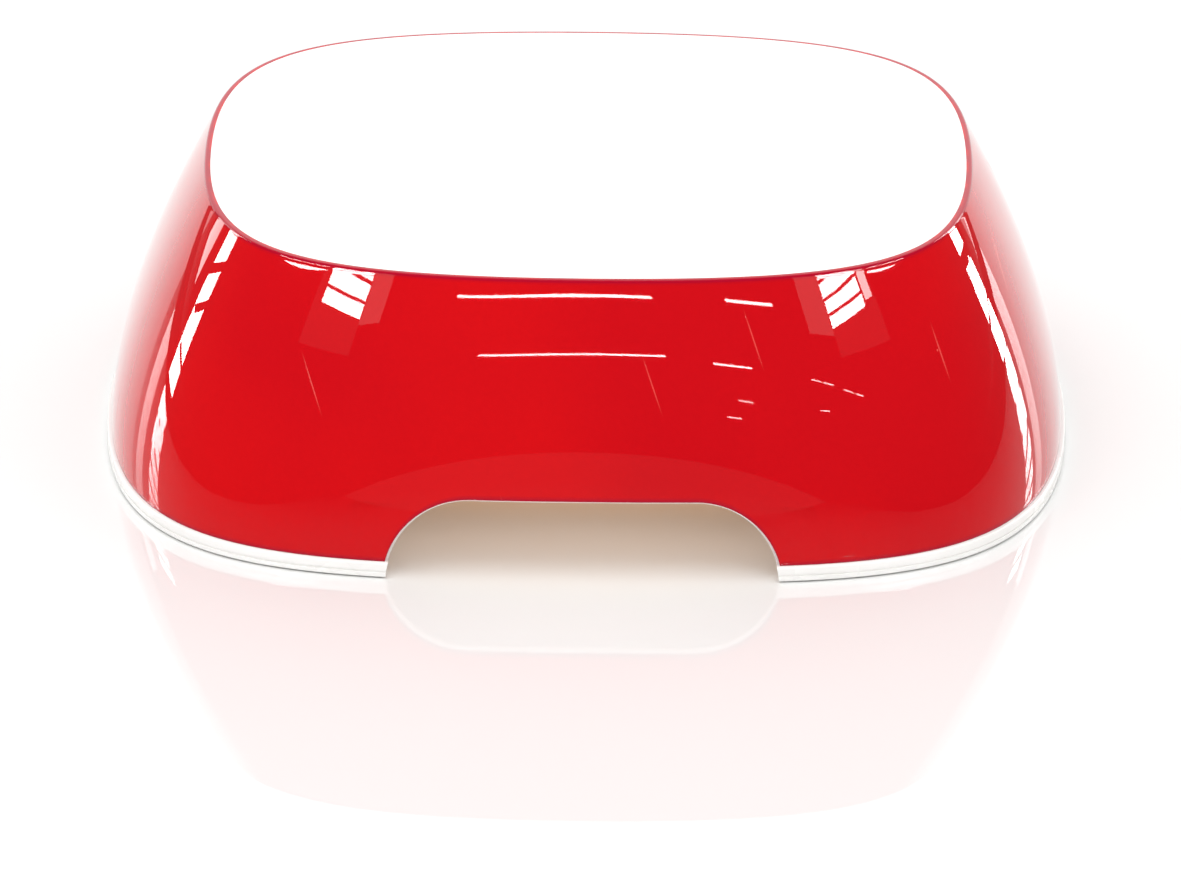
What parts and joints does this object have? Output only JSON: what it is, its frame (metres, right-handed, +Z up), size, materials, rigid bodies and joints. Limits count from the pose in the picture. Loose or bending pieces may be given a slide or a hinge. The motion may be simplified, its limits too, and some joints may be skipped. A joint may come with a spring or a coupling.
{
  "type": "pet food bowl",
  "caption": "Rounded rectangular two-colour plastic pet bowl with a flared skirt, finger notches front and rear, and rubber feet.",
  "frame": {"origin": "middle of the base, on the plane that the feet stand on", "axes": "+X along the longer side of the bowl, +Y from the front finger notch to the rear one, +Z up out of the bowl"},
  "size_m": [0.2218, 0.188, 0.0667],
  "materials": {
    "white_plastic": "moulded, satin to glossy",
    "red_plastic": "high gloss, slightly transparent",
    "foot_rubber": "matte"
  },
  "bodies": {
    "root": {"white_bowl": "white_plastic", "red_skin": "red_plastic", "foot_front_left": "foot_rubber", "foot_front_right": "foot_rubber", "foot_rear_left": "foot_rubber", "foot_rear_right": "foot_rubber"}
  },
  "joints": []
}
